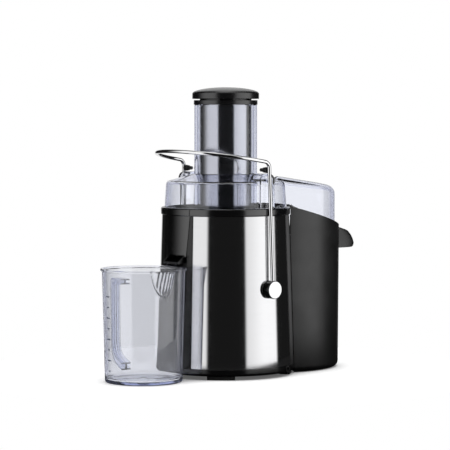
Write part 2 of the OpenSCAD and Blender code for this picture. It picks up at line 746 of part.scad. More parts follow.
place() housing_shell();
place() steel_panel_left();
place() steel_panel_right();
place() top_ring();
place() base_skirt();
place() bottom_cover();
place() rubber_feet();
place() base_screws();
place() cord_gland();
place() motor_stator();
place() field_coils();
place() upper_motor_frame();
place() lower_motor_frame();
place() motor_screws();
place() upper_bearing();
place() lower_bearing();
place() brush_holders();
place() carbon_brushes();
place() vibration_dampers();
place() control_board();
place() switch_body();
place() switch_bezel();
place() speed_knob();
place() microswitch();
place() interlock_plunger();
place() pivot_bushes();
place() shaft_seal();
place() motor_shaft();
place() armature_core();
place() armature_windings();
place() commutator();
place() cooling_fan();
place() drive_coupling();
place() basket_base();
place() grater_disc();
place() filter_sieve();
place() basket_rim();
place() juice_bowl();
place() lid();
place() pusher_cap();
place() pusher_sleeve();
place() pusher_core();
place() bail_rod();
place() bail_pegs();
place() pivot_knobs();
place() knob_caps();
place() pivot_pins();
place() pulp_bin();
place_jug() jug_body();
place_jug() jug_handle();
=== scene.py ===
"""Looks of the centrifugal juicer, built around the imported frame. Metres, +Z up."""

import json
import math

import bmesh
import bpy
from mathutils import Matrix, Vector


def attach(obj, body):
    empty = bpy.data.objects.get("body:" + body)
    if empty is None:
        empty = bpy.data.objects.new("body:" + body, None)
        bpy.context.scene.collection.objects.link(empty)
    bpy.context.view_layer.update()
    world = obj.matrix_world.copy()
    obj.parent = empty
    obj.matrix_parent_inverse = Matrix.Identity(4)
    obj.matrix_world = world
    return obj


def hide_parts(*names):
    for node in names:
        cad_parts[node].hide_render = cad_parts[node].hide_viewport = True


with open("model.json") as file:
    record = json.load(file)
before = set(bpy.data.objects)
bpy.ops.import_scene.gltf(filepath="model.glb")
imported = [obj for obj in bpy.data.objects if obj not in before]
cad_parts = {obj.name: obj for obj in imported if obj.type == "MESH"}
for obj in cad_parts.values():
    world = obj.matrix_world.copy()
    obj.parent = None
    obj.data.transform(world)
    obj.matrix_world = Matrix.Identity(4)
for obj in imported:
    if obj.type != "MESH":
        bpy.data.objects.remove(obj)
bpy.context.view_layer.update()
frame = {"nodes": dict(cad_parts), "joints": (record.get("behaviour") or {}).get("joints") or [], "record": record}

MM = 0.001
JOINTS = {joint["name"]: joint for joint in frame["joints"]}
AXIS_X = JOINTS["rotor_spin"]["pos_m"][0]

# The camera stands off the spout's corner, a little above the feed tube's foot.
CAMERA_AZIMUTH = math.radians(-41)
CAMERA_DISTANCE = 2.793
CAMERA_HEIGHT = 0.3435
CAMERA_LENS = 168.0
AIM_HEIGHT = 0.1972
AIM_SIDE = -0.0009
FLOOR_RADIUS = 0.34
TO_CAMERA = Vector((math.sin(CAMERA_AZIMUTH), -math.cos(CAMERA_AZIMUTH), 0))
TO_RIGHT = Vector((math.cos(CAMERA_AZIMUTH), math.sin(CAMERA_AZIMUTH), 0))


# ---------------------------------------------------------------- camera, floor and light


def make_camera():
    data = bpy.data.cameras.new("camera")
    data.lens = CAMERA_LENS
    data.clip_end = 20
    camera = bpy.data.objects.new("camera", data)
    bpy.context.scene.collection.objects.link(camera)
    foot = Vector((AXIS_X, 0, 0))
    camera.location = foot + TO_CAMERA * CAMERA_DISTANCE + Vector((0, 0, CAMERA_HEIGHT))
    aim = foot + TO_RIGHT * AIM_SIDE + Vector((0, 0, AIM_HEIGHT))
    camera.rotation_mode = "QUATERNION"
    camera.rotation_quaternion = (aim - camera.location).to_track_quat("-Z", "Y")
    bpy.context.scene.camera = camera


class Nodes:
    """Short names for the nodes that the materials are made of."""

    def __init__(self, tree):
        self.tree = tree

    def add(self, kind, **settings):
        node = self.tree.nodes.new(kind)
        for name, value in settings.items():
            setattr(node, name, value)
        return node

    def link(self, out, into):
        self.tree.links.new(out, into)

    def feed(self, socket, value):
        """Puts a number or a vector in a socket, or links another socket to it."""
        if isinstance(value, bpy.types.NodeSocket):
            self.link(value, socket)
        else:
            socket.default_value = value

    def math(self, operation, *values):
        node = self.add("ShaderNodeMath", operation=operation)
        for socket, value in zip(node.inputs, values):
            self.feed(socket, value)
        return node.outputs[0]

    def dot(self, vector, fixed):
        node = self.add("ShaderNodeVectorMath", operation="DOT_PRODUCT")
        self.link(vector, node.inputs[0])
        node.inputs[1].default_value = fixed
        return node.outputs["Value"]

    def ramp(self, value, low, high, to_low=0.0, to_high=1.0):
        node = self.add("ShaderNodeMapRange", interpolation_type="SMOOTHSTEP")
        for socket, number in zip(node.inputs, (value, low, high, to_low, to_high)):
            self.feed(socket, number)
        return node.outputs[0]

    def mix(self, factor, first, second):
        node = self.add("ShaderNodeMix", data_type="RGBA")
        self.feed(node.inputs[0], factor)
        self.feed(node.inputs[6], first)
        self.feed(node.inputs[7], second)
        return node.outputs[2]


def sector(nodes, angle, start, end, soft=3.0):
    """1 between two angles in degrees, with soft edges."""
    rise = nodes.ramp(angle, math.radians(start - soft), math.radians(start + soft))
    fall = nodes.ramp(angle, math.radians(end - soft), math.radians(end + soft), 1.0, 0.0)
    return nodes.math("MULTIPLY", rise, fall)


def seen_straight(nodes):
    """1 for what the camera sees directly or through clear plastic, and 0 for reflections."""
    path = nodes.add("ShaderNodeLightPath").outputs
    unturned = nodes.math("LESS_THAN", nodes.math("ADD", path["Glossy Depth"], path["Diffuse Depth"]), 0.5)
    through = nodes.math("MULTIPLY", path["Is Transmission Ray"], unturned)
    return nodes.math("MAXIMUM", path["Is Camera Ray"], through)


def make_world():
    """A dark studio with a tall softbox on each side and a white backdrop behind the object."""
    world = bpy.data.worlds.new("studio")
    bpy.context.scene.world = world
    world.use_nodes = True
    world.node_tree.nodes.clear()
    nodes = Nodes(world.node_tree)
    way = nodes.add("ShaderNodeTexCoord").outputs["Generated"]
    angle = nodes.math("ARCTAN2", nodes.dot(way, TO_RIGHT), nodes.dot(way, TO_CAMERA))
    height = nodes.dot(way, (0, 0, 1))
    tall = nodes.ramp(height, 0.72, 0.84, 1.0, 0.0)
    swell = nodes.ramp(angle, math.radians(34), math.radians(72), 1.0, 1.3)
    right = nodes.math("MULTIPLY", sector(nodes, angle, 35, 97), swell)
    fade = nodes.ramp(angle, math.radians(-108), math.radians(-70), 0.05, 1.05)
    left = nodes.math("MULTIPLY", sector(nodes, angle, -108, -32), fade)
    boxes = nodes.math("MULTIPLY", nodes.math("ADD", right, left), tall)
    spread = nodes.math("ABSOLUTE", angle)
    narrow = nodes.math("MULTIPLY", nodes.ramp(spread, math.radians(157), math.radians(166)), 0.82)
    bent = nodes.add("ShaderNodeLightPath").outputs["Is Transmission Ray"]
    wide = nodes.math("MULTIPLY", nodes.ramp(spread, math.radians(132), math.radians(142)), bent)
    back = nodes.math("MAXIMUM", narrow, wide)
    roof = nodes.ramp(height, 0.9, 0.96, 0.0, 1.0)
    glow = nodes.math("ADD", nodes.math("ADD", boxes, back), nodes.math("ADD", roof, 0.011))
    strength = nodes.add("ShaderNodeMix", data_type="FLOAT")
    nodes.link(seen_straight(nodes), strength.inputs[0])
    nodes.link(glow, strength.inputs[2])
    strength.inputs[3].default_value = 1.0
    light = nodes.add("ShaderNodeBackground")
    light.inputs["Color"].default_value = (1, 1, 1, 1)
    nodes.link(strength.outputs[0], light.inputs["Strength"])
    out = nodes.add("ShaderNodeOutputWorld")
    nodes.link(light.outputs[0], out.inputs["Surface"])


def make_floor():
    """A small white table top, which glows enough to run into the white backdrop. Where the object stands close
    over it, ambient occlusion dims the glow, which paints a soft contact shadow. To reflections and bounced light
    it is dark grey."""
    mesh = bpy.data.meshes.new("floor")
    steps = 96
    rim = []
    for step in range(steps):
        turn = 2 * math.pi * step / steps
        rim.append((AXIS_X + FLOOR_RADIUS * math.cos(turn), FLOOR_RADIUS * math.sin(turn), 0))
    mesh.from_pydata(rim, [], [tuple(range(steps))])
    floor = bpy.data.objects.new("floor", mesh)
    bpy.context.scene.collection.objects.link(floor)
    material = bpy.data.materials.new("floor_white")
    material.use_nodes = True
    shader = material.node_tree.nodes["Principled BSDF"]
    shader.inputs["Roughness"].default_value = 0.7
    shader.inputs["Specular IOR Level"].default_value = 0
    shader.inputs["Emission Color"].default_value = (1, 1, 1, 1)
    nodes = Nodes(material.node_tree)
    # Painted contact shadow: the floor's glow fades where ambient occlusion finds the object close above it.
    painted_shadow_occlusion = nodes.add("ShaderNodeAmbientOcclusion", samples=8)
    painted_shadow_occlusion.inputs["Distance"].default_value = 0.05
    share = nodes.ramp(painted_shadow_occlusion.outputs["AO"], 0.15, 0.85, 0.1, 0.8)
    path = nodes.add("ShaderNodeLightPath").outputs
    bent = path["Is Transmission Ray"]
    seen = nodes.math("MAXIMUM", path["Is Camera Ray"], bent)
    glow = nodes.math("MULTIPLY", nodes.math("MAXIMUM", share, nodes.math("MULTIPLY", bent, 0.8)), seen)
    nodes.link(glow, shader.inputs["Emission Strength"])
    nodes.link(nodes.mix(seen, (0.04, 0.04, 0.04, 1), (0.8, 0.8, 0.8, 1)), shader.inputs["Base Color"])
    mesh.materials.append(material)


# ---------------------------------------------------------------- materials


def start_material(name, colour, roughness, metallic=0.0):
    material = bpy.data.materials.new(name)
    material.use_nodes = True
    shader = material.node_tree.nodes["Principled BSDF"]
    shader.inputs["Base Color"].default_value = (*colour, 1)
    shader.inputs["Roughness"].default_value = roughness
    shader.inputs["Metallic"].default_value = metallic
    return material, Nodes(material.node_tree), shader


def noise(nodes, scale, stretch=(1, 1, 1), detail=3.0):
    """Noise in the object's own space, with features about 1/scale metres across."""
    place = nodes.add("ShaderNodeTexCoord").outputs["Object"]
    mapping = nodes.add("ShaderNodeMapping")
    mapping.inputs["Scale"].default_value = stretch
    nodes.link(place, mapping.inputs["Vector"])
    texture = nodes.add("ShaderNodeTexNoise")
    texture.inputs["Scale"].default_value = scale
    texture.inputs["Detail"].default_value = detail
    nodes.link(mapping.outputs[0], texture.inputs["Vector"])
    return texture.outputs["Fac"]


def bump(nodes, shader, height, depth, strength=0.5):
    node = nodes.add("ShaderNodeBump")
    node.inputs["Strength"].default_value = strength
    node.inputs["Distance"].default_value = depth
    nodes.link(height, node.inputs["Height"])
    nodes.link(node.outputs[0], shader.inputs["Normal"])
    return node


def round_edges(nodes, bump_node, radius=0.0009):
    """Softens moulded edges, as a small fillet does."""
    fillet = nodes.add("ShaderNodeBevel", samples=4)
    fillet.inputs["Radius"].default_value = radius
    nodes.link(fillet.outputs[0], bump_node.inputs["Normal"])


def plastic(name, colour, roughness, depth=0.00002, bend=1.5):
    """Moulded plastic: a fine even grain, with slow changes of shade and gloss."""
    material, nodes, shader = start_material(name, colour, roughness)
    shader.inputs["IOR"].default_value = bend
    slow = noise(nodes, 28)
    light = tuple(c * 1.25 + 0.003 for c in colour)
    nodes.link(nodes.mix(slow, (*colour, 1), (*light, 1)), shader.inputs["Base Color"])
    nodes.link(nodes.ramp(slow, 0.3, 0.7, roughness * 0.9, roughness * 1.12), shader.inputs["Roughness"])
    round_edges(nodes, bump(nodes, shader, noise(nodes, 1400), depth))
    return material


def brushed(name, colour, roughness, stretch, fine=2600):
    """Metal with hairlines: stretch is small along the lines and 1 across them."""
    material, nodes, shader = start_material(name, colour, roughness, 1.0)
    lines = noise(nodes, fine, stretch, 2.0)
    slow = noise(nodes, 60, stretch, 2.0)
    dark = tuple(c * 0.9 for c in colour)
    nodes.link(nodes.mix(lines, (*dark, 1), (*colour, 1)), shader.inputs["Base Color"])
    both = nodes.math("ADD", nodes.math("MULTIPLY", lines, 0.6), nodes.math("MULTIPLY", slow, 0.4))
    nodes.link(nodes.ramp(both, 0.3, 0.7, roughness * 0.8, roughness * 1.25), shader.inputs["Roughness"])
    bump(nodes, shader, lines, 0.000006, 0.35)
    return material


def polished(name, colour, roughness):
    """Plated metal: nearly a mirror, with faint polishing haze."""
    material, nodes, shader = start_material(name, colour, roughness, 1.0)
    haze = noise(nodes, 180)
    nodes.link(nodes.ramp(haze, 0.35, 0.75, roughness * 0.6, roughness * 1.8), shader.inputs["Roughness"])
    bump(nodes, shader, noise(nodes, 420), 0.000004, 0.3)
    return material


def clear(name, face, edge, density, clarity=1.0):
    """Clear tinted plastic, whose colour deepens where it is seen edge on."""
    material, nodes, shader = start_material(name, face, 0.03)
    shader.inputs["Transmission Weight"].default_value = clarity
    shader.inputs["IOR"].default_value = 1.57
    layer = nodes.add("ShaderNodeLayerWeight")
    layer.inputs["Blend"].default_value = 0.5
    deep = nodes.ramp(layer.outputs["Facing"], 0.45, 0.97)
    nodes.link(nodes.mix(deep, (*face, 1), (*edge, 1)), shader.inputs["Base Color"])
    depth = nodes.add("ShaderNodeVolumeAbsorption")
    depth.inputs["Color"].default_value = (0.5, 0.57, 0.84, 1)
    depth.inputs["Density"].default_value = density
    nodes.link(depth.outputs[0], nodes.tree.nodes["Material Output"].inputs["Volume"])
    flow = noise(nodes, 35)
    nodes.link(nodes.ramp(flow, 0.3, 0.8, 0.015, 0.05), shader.inputs["Roughness"])
    bump(nodes, shader, noise(nodes, 45), 0.00004, 0.08)
    return material


def rubber(name, colour):
    material, nodes, shader = start_material(name, colour, 0.75)
    dust = noise(nodes, 90)
    pale = tuple(c + 0.02 for c in colour)
    nodes.link(nodes.mix(dust, (*colour, 1), (*pale, 1)), shader.inputs["Base Color"])
    nodes.link(nodes.ramp(dust, 0.3, 0.7, 0.65, 0.9), shader.inputs["Roughness"])
    bump(nodes, shader, noise(nodes, 900), 0.00005)
    return material


def cast(name, colour, roughness=0.45):
    """Cast or pressed metal with a coarse, slightly mottled skin."""
    material, nodes, shader = start_material(name, colour, roughness, 1.0)
    spots = noise(nodes, 240, detail=6.0)
    dark = tuple(c * 0.7 for c in colour)
    nodes.link(nodes.mix(spots, (*dark, 1), (*colour, 1)), shader.inputs["Base Color"])
    nodes.link(nodes.ramp(spots, 0.3, 0.7, roughness * 0.8, roughness * 1.3), shader.inputs["Roughness"])
    bump(nodes, shader, spots, 0.00008, 0.4)
    return material


def wound(name, colour):
    """Enamelled wire, laid in close turns."""
    material, nodes, shader = start_material(name, colour, 0.35, 0.8)
    place = nodes.add("ShaderNodeTexCoord").outputs["Object"]
    turns = nodes.add("ShaderNodeTexWave", bands_direction="Z")
    turns.inputs["Scale"].default_value = 300
    turns.inputs["Distortion"].default_value = 1.5
    nodes.link(place, turns.inputs["Vector"])
    dark = tuple(c * 0.45 for c in colour)
    nodes.link(nodes.mix(turns.outputs["Fac"], (*dark, 1), (*colour, 1)), shader.inputs["Base Color"])
    bump(nodes, shader, turns.outputs["Fac"], 0.0003, 0.8)
    return material


def make_materials():
    lid_face, lid_edge = (0.95, 0.957, 0.985), (0.42, 0.45, 0.64)
    return {
        "black_body": plastic("body_plastic", (0.004, 0.004, 0.0042), 0.22),
        "black_gloss": plastic("gloss_plastic", (0.003, 0.003, 0.0033), 0.16, 0.00001, 1.9),
        "black_bin": plastic("bin_plastic", (0.004, 0.004, 0.0042), 0.38, bend=1.65),
        "pusher_black": plastic("cap_plastic", (0.005, 0.005, 0.0055), 0.25, bend=1.8),
        "peg_black": plastic("peg_plastic", (0.012, 0.012, 0.012), 0.4),
        "steel_wrap": brushed("wrap_steel", (0.76, 0.76, 0.77), 0.085, (0.02, 0.02, 1)),
        "pusher_steel": brushed("sleeve_steel", (0.62, 0.62, 0.63), 0.14, (0.02, 0.02, 1)),
        "basket_steel": brushed("basket_steel", (0.7, 0.7, 0.72), 0.25, (1, 1, 0.1)),
        "plain_steel": brushed("plain_steel", (0.6, 0.6, 0.62), 0.28, (0.05, 0.05, 1)),
        "core_steel": cast("core_steel", (0.35, 0.35, 0.37)),
        "cast_frame": cast("cast_frame", (0.6, 0.6, 0.61)),
        "brass_parts": cast("brass", (0.75, 0.52, 0.22), 0.3),
        "copper_wire": wound("copper_wire", (0.75, 0.3, 0.12)),
        "carbon": plastic("carbon", (0.03, 0.03, 0.03), 0.6),
        "circuit_board": plastic("board", (0.02, 0.16, 0.05), 0.4),
        "chrome_rod": polished("chrome", (0.86, 0.86, 0.87), 0.05),
        "foot_rubber": rubber("foot_rubber", (0.018, 0.018, 0.018)),
        "gland_rubber": rubber("gland_rubber", (0.02, 0.02, 0.02)),
        "red_plastic": plastic("red_plastic", (0.45, 0.02, 0.015), 0.3),
        "white_plastic": plastic("white_plastic", (0.6, 0.6, 0.56), 0.4),
        "clear_lid": clear("lid_clear", lid_face, lid_edge, 26),
        "clear_jug": clear("jug_clear", lid_face, lid_edge, 18, 0.91),
        "clear_handle": clear("handle_clear", (0.86, 0.88, 0.96), (0.3, 0.34, 0.58), 42),
        "mark": plastic("mark_ink", (0.15, 0.17, 0.27), 0.5),
    }


def dress_nodes(materials):
    """Each CAD node that stays takes the material of its slot."""
    for part in frame["record"]["subparts"]:
        node = frame["nodes"][part["node"]]
        node.data.materials.clear()
        node.data.materials.append(materials[part["material_slot"]])
        for face in node.data.polygons:
            face.use_smooth = True
        node.data.set_sharp_from_angle(angle=math.radians(35))


# ---------------------------------------------------------------- mesh tools
# From here on, places are in millimetres from the spin axis.


def mesh_of(name, points, faces):
    """A mesh in the shared frame, from points in millimetres."""
    mesh = bpy.data.meshes.new(name)
    mesh.from_pydata([(AXIS_X + x * MM, y * MM, z * MM) for x, y, z in points], [], faces)
    mesh.update()
    return mesh


def tidy_mesh(mesh, sharp=35):
    """Welds seams, turns the faces outwards and smooths all but the sharp edges."""
    work = bmesh.new()
    work.from_mesh(mesh)
    bmesh.ops.remove_doubles(work, verts=work.verts, dist=0.000002)
    bmesh.ops.recalc_face_normals(work, faces=work.faces)
    work.to_mesh(mesh)
    work.free()
    for face in mesh.polygons:
        face.use_smooth = True
    mesh.set_sharp_from_angle(angle=math.radians(sharp))


def add_piece(mesh, slot, body, nodes=(), sharp=35):
    """Puts a mesh in the scene on its body, in its slot and in place of its CAD nodes."""
    tidy_mesh(mesh, sharp)
    mesh.materials.clear()
    mesh.materials.append(MATERIALS[slot])
    piece = bpy.data.objects.new(mesh.name, mesh)
    bpy.context.scene.collection.objects.link(piece)
    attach(piece, body)
    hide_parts(*nodes)
    return piece


def stack(rings, closed=True):
    """Points and faces through rings of equal length. A closed stack has its ends filled."""
    count = len(rings[0])
    points = [point for ring in rings for point in ring]
    faces = []
    for level in range(len(rings) - 1):
        low, high = level * count, (level + 1) * count
        for step in range(count):
            after = (step + 1) % count
            faces.append((low + step, low + after, high + after, high + step))
    if closed:
        faces.append(tuple(range(count))[::-1])
        faces.append(tuple(range(len(points) - count, len(points))))
    return points, faces


def turned(profile, steps=144):
    """Points and faces of a closed outline of (radius, height), turned round the spin axis."""
    rings = []
    for step in range(steps):
        turn = 2 * math.pi * step / steps
        rings.append([(r * math.cos(turn), r * math.sin(turn), z) for r, z in profile])
    points, faces = stack(rings, closed=False)
    count = len(profile)
    last = (steps - 1) * count
    for step in range(count):
        after = (step + 1) % count
        faces.append((last + step, last + after, after, step))
    return points, faces


def circle(radius, steps=144):
    """Points in plan, round the spin axis."""
    turns = [2 * math.pi * step / steps for step in range(steps)]
    return [(radius * math.cos(turn), radius * math.sin(turn)) for turn in turns]


def arc(cx, cy, radius, start, end, steps=8):
    turns = [math.radians(start + (end - start) * step / steps) for step in range(steps + 1)]
    return [(cx + radius * math.cos(turn), cy + radius * math.sin(turn)) for turn in turns]


def drum(name, radius, low, high):
    """A plain cylinder round the spin axis."""
    points, faces = stack([[(x, y, z) for x, y in circle(radius)] for z in (low, high)])
    return mesh_of(name, points, faces)


def prism(name, outline, half):
    """An outline in the upright plane along X, drawn out to both sides."""
    points, faces = stack([[(x, y, z) for x, z in outline] for y in (-half, half)])
    return mesh_of(name, points, faces)


def cut(target, tool, operation):
    """A boolean of two meshes, which leaves the result in the first."""
    first = bpy.data.objects.new("first", target)
    second = bpy.data.objects.new("second", tool)
    for piece in (first, second):
        tidy_mesh(piece.data)
        bpy.context.scene.collection.objects.link(piece)
    change = first.modifiers.new("cut", "BOOLEAN")
    change.object = second
    change.operation = operation
    change.solver = "EXACT"
    bpy.context.view_layer.update()
    evaluated = first.evaluated_get(bpy.context.evaluated_depsgraph_get())
    result = bpy.data.meshes.new_from_object(evaluated)
    result.name = target.name
    for piece in (first, second):
        bpy.data.objects.remove(piece)
    return result


def tube_along(path, radius, sides=32):
    """Rings of a round rod along a path, each square to it."""
    spine = [Vector(point) for point in path]
    rings = []
    side = Vector((1, 0, 0))
    for index, point in enumerate(spine):
        ahead = (spine[min(index + 1, len(spine) - 1)] - spine[max(index - 1, 0)]).normalized()
        side = (side - ahead * side.dot(ahead)).normalized()
        up = ahead.cross(side)
        turns = [2 * math.pi * step / sides for step in range(sides)]
        rings.append([tuple(point + (side * math.cos(t) + up * math.sin(t)) * radius) for t in turns])
    return stack(rings)


# ---------------------------------------------------------------- pieces


def make_bail():
    """The bent wire: two leaning arms, a tight bend at each top and a half-round loop."""
    slope = math.radians(8.8)
    wire, bend, top_z, half = 2.5, 9.0, 274.2, 86.5
    knee_y, knee_z = 92.6, 137.2
    spread = Vector((-math.cos(slope), 0, math.sin(slope)))
    arm = [Vector((0, 93.3, 121.2))]
    for step in range(8):
        up = step / 8
        arm.append(Vector((0, knee_y + (half - knee_y) * up, knee_z + (top_z - knee_z) * up)))
    turns = [(math.pi / 2 - slope) * step / 12 for step in range(13)]
    corner = [Vector((bend * (math.cos(t) - 1), half, top_z + bend * math.sin(t))) for t in turns]
    hub = Vector((corner[-1].x, 0, corner[-1].z))
    path = arm + corner
    for step in range(1, 72):
        turn = math.pi * step / 72
        path.append(hub + Vector((0, half * math.cos(turn), 0)) + spread * (half * math.sin(turn)))
    path += [Vector((point.x, -point.y, point.z)) for point in reversed(arm + corner)]
    points, faces = tube_along(path, wire)
    add_piece(mesh_of("bail_wire", points, faces), "chrome_rod", "bail", ["bail_rod"])


def body_radius(z):
    """The base narrows from 91 mm above its skirt to 85 mm under its top ring."""
    return 91 - 6 * (z - 14) / 198


def make_wrap_panel():
    """The brushed sheet on the near side, with a fold along both ends."""
    start, end = math.radians(199.2), math.radians(317.5)
    thick, foot_z, top_z = 0.8, 14.2, 211.8
    rings = []
    for step in range(121):
        turn = start + (end - start) * step / 120
        fold = 0.5 * max(0, 1 - min(step, 120 - step) / 2)
        ring = []
        for inset, z in ((fold, foot_z), (fold, top_z), (thick, top_z), (thick, foot_z)):
            radius = body_radius(z) - inset
            ring.append((radius * math.cos(turn), radius * math.sin(turn), z))
        rings.append(ring)
    points, faces = stack(rings)
    mesh = mesh_of("wrap_panel", points, faces)
    add_piece(mesh, "steel_wrap", "base_unit", ["steel_panel_right"], sharp=50)


# The jug: each outline is a list of (radius, height), and the rim's radii are added to the wall's.
JUG_X, JUG_Y, JUG_FACING = -143.0, -3.4, -100.5
JUG_UNDERSIDE = [(1.5, 3.4), (4, 2.2), (6, 1.3), (30, 1.2), (44, 1.2), (45.2, 0.1)]
JUG_RIM = [(0.9, 143.3), (1.7, 143.7), (2, 144.3), (2, 145.7), (1.4, 146.5), (-1.3, 146.5), (-2.1, 145.8)]
JUG_FLOOR = [(30, 4), (7, 4.1), (5, 5), (2, 6.4)]
JUG_WALL, JUG_CORNER, JUG_TOP = 2.1, 3.0, 146.5
JUG_FOOT_R, JUG_FLARE, JUG_FLARE_RISE = 50.1, 3.7, 140.5
BEAK_OUT, BEAK_WIDE, BEAK_DEEP, BEAK_LEAN = 47.7, 17.0, 18.3, 0.4


def jug_point(radius, turn, z):
    """From the jug's own round frame, with its beak at turn 0, to the shared frame."""
    angle = turn + math.radians(JUG_FACING)
    return (JUG_X + radius * math.cos(angle), JUG_Y + radius * math.sin(angle), z)


def jug_outside(turn, z):
    """Distance of the outer wall from the jug's axis; the beak is a leaning round bulge."""
    wall = JUG_FOOT_R + JUG_FLARE * min(max((z - JUG_CORNER) / JUG_FLARE_RISE, 0), 1)
    centre = BEAK_OUT - BEAK_LEAN * (JUG_TOP - z)
    wide, deep = BEAK_WIDE ** 2, BEAK_DEEP ** 2
    side, ahead = math.sin(turn), math.cos(turn)
    if ahead <= 0:
        return wall
    # Where a ray from the jug's axis leaves the beak's oval, as the root of a quadratic.
    a = side * side / wide + ahead * ahead / deep
    b = -2 * ahead * centre / deep
    c = centre * centre / deep - 1
    inside = b * b - 4 * a * c
    if inside < 0:
        return wall
    beak = (-b + math.sqrt(inside)) / (2 * a)
    gap = beak - wall
    blend, welt = 0.8, 0.9
    if gap <= -blend:
        return wall
    if gap >= blend:
        return beak
    return wall + (gap + blend) ** 2 / (4 * blend) + welt * (1 - (gap / blend) ** 2)


def jug_inside(turn, z):
    """The inner wall, with five upright ribs in the beak."""
    outer = jug_outside(turn, z)
    beak_depth = min(max((outer - 54.2) / 4, 0), 1)
    across = outer * math.sin(turn)
    rib_spacing, ribs_half = 4.4, 11
    ribs = 0
    if abs(across) < ribs_half:
        ribs = 0.8 * beak_depth * max(0, math.cos(2 * math.pi * across / rib_spacing))
    return outer - JUG_WALL - ribs


def make_jug():
    """Rings from the middle of the underside, up the outer wall, over the rim and down inside."""
    steps = 480
    turns = [2 * math.pi * step / steps for step in range(steps)]
    rings = []
    foot = arc(jug_outside(0, 0) - JUG_CORNER, JUG_CORNER, JUG_CORNER, -90, 0, 6)
    for radius, z in JUG_UNDERSIDE + foot:
        rings.append([jug_point(radius, turn, z) for turn in turns])
    for step in range(1, 91):
        z = JUG_CORNER + 140 * step / 90
        rings.append([jug_point(jug_outside(turn, z), turn, z) for turn in turns])
    for grow, z in JUG_RIM:
        rings.append([jug_point(jug_outside(turn, z) + grow, turn, z) for turn in turns])
    for step in range(89):
        z = 145 - 136 * step / 88
        rings.append([jug_point(jug_inside(turn, z), turn, z) for turn in turns])
    bend, bend_z = 5, 9
    corner = arc(jug_inside(math.pi, bend_z) - bend, bend_z, bend, -90, -8, 6)
    for radius, z in corner[::-1] + JUG_FLOOR:
        rings.append([jug_point(radius, turn, z) for turn in turns])
    points, faces = stack(rings)
    add_piece(mesh_of("jug_cup", points, faces), "clear_jug", "jug", ["jug_body"], sharp=42)


def make_jug_marks():
    """Raised measuring marks on the wall beside the handle: a long one and a short one in turn."""
    points, faces = [], []
    count, top_z, spacing = 8, 112, 13.6
    middle, long_half, short_half = math.radians(-88), math.radians(4.2), math.radians(2.2)
    for index in range(count):
        z = top_z - spacing * index
        half = long_half if index % 2 == 0 else short_half
        strip = []
        for step in range(9):
            turn = middle - half + 2 * half * step / 8
            outer = jug_outside(turn, z)
            sunk, proud = outer - 0.3, outer + 0.35
            ring = [(sunk, z - 0.8), (proud, z - 0.7), (proud, z + 0.7), (sunk, z + 0.8)]
            strip.append([jug_point(radius, turn, height) for radius, height in ring])
        more_points, more_faces = stack(strip)
        base = len(points)
        points += more_points
        faces += [tuple(base + corner for corner in face) for face in more_faces]
    marks = add_piece(mesh_of("jug_marks", points, faces), "clear_jug", "jug")
    marks.data.materials[0] = MATERIALS["mark"]


# The lid: a round part over the basket, a hood over the bin, two lugs and the feed tube.
LID_WALL = 2.4
LID_FOOT_R, LID_FOOT_Z, LID_TOP_Z = 81.4, 222.0, 265.6
SHOULDER_R, SHOULDER_Z, SHOULDER_ROUND = 73.4, 251.0, 6.2
HOOD_X, HOOD_R, HOOD_ROUND = 114.5, 62.6, 10.0
HOOD_START, HOOD_START_Z, HOOD_RISE = 20.0, 251.0, 0.49
HOOD_TOP_Z, HOOD_SLOPE = 269.0, 0.14
TUBE_R, TUBE_BORE_R, TUBE_TOP = 41.75, 38.0, 357.0


def hood_top(x):
    """The cover slopes down towards its nose, and rises steeply out of the round part."""
    return min(HOOD_TOP_Z - HOOD_SLOPE * x, HOOD_START_Z + HOOD_RISE * (x - HOOD_START))


def hood_solid(name, inset):
    """The hood as a solid with a rounded upper edge, from the basket's middle to over the bin."""
    radius, rounding = HOOD_R - inset, HOOD_ROUND - inset
    straight = [HOOD_START + (HOOD_X - HOOD_START) * step / 16 for step in range(16)]
    bends = [math.radians(-90 + 180 * step / 48) for step in range(49)]
    rings = []
    for turn in [None] + [math.radians(90 * step / 8) for step in range(9)]:
        reach = radius if turn is None else radius - rounding * (1 - math.cos(turn))
        plan = [(x, -reach) for x in straight]
        plan += [(HOOD_X + reach * math.cos(bend), reach * math.sin(bend)) for bend in bends]
        plan += [(x, reach) for x in reversed(straight)]
        ring = []
        for x, y in plan:
            drop = 0 if turn is None else rounding * (1 - math.sin(turn))
            ring.append((x, y, 196.0 if turn is None else hood_top(x) - inset - drop))
        rings.append(ring)
    points, faces = stack(rings)
    return mesh_of(name, points, faces)


def round_solid(name, inset):
    """The lid's round part as a solid, with a rounded shoulder. Inset 0 is its outside."""
    outline = [(LID_FOOT_R - inset, LID_FOOT_Z - inset)]
    outline += arc(SHOULDER_R, SHOULDER_Z, SHOULDER_ROUND - inset, 3, 78)
    outline.append((TUBE_R, LID_TOP_Z - inset))
    points, faces = stack([[(x, y, z) for x, y in circle(radius)] for radius, z in outline])
    return mesh_of(name, points, faces)


def lug_solid(name, side, inset):
    """A block with a rounded top, over which the wire's peg clips. Inset 0 is its outside."""
    half, top, bend = 12.5 - inset, 267.6 - inset, 8 - inset
    bend_x, bend_z = 4.5, 258.6
    outline = [(-half, LID_FOOT_Z - inset), (half, LID_FOOT_Z - inset)]
    outline += arc(bend_x, bend_z, bend, 0, 80, 6) + [(0, top)] + arc(-bend_x, bend_z, bend, 100, 180, 6)
    rings = [[(x, side * y, z) for x, z in outline] for y in (64.0 + inset, 83.0 - inset)]
    points, faces = stack(rings)
    return mesh_of(name, points, faces)


def hood_over_bin(name):
    """The part of the hood and its mouth that lies outside the ring."""
    return cut(hood_solid(name, 0), drum("well", 87.2, 150, 225), "DIFFERENCE")


def bin_rim(x):
    """Height of the bin's rim, which slopes down away from the body."""
    return 220.8 - math.tan(math.radians(14.8)) * (x - 65)


